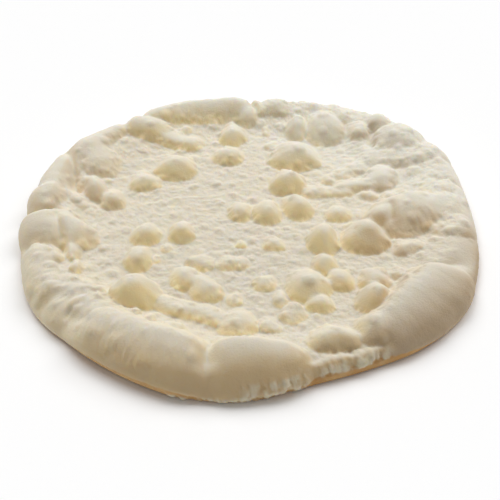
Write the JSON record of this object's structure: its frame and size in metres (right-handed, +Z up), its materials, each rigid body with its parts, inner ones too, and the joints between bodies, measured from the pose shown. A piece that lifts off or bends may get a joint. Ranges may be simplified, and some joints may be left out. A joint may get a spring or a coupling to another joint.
{
  "type": "pizza base",
  "caption": "Round par-baked flatbread base with a puffed uneven rim and a floured bubbly top, laid flat to take toppings before baking.",
  "frame": {"origin": "on the flat underside, under the middle of the disc's box", "axes": "+Z up through the bubbly top; +Y towards the far rim as pictured, +X to its right"},
  "size_m": [0.2887, 0.2852, 0.0266],
  "materials": {
    "dough": "matte floured dough"
  },
  "bodies": {
    "root": {"pizza_base": "dough"}
  },
  "joints": []
}
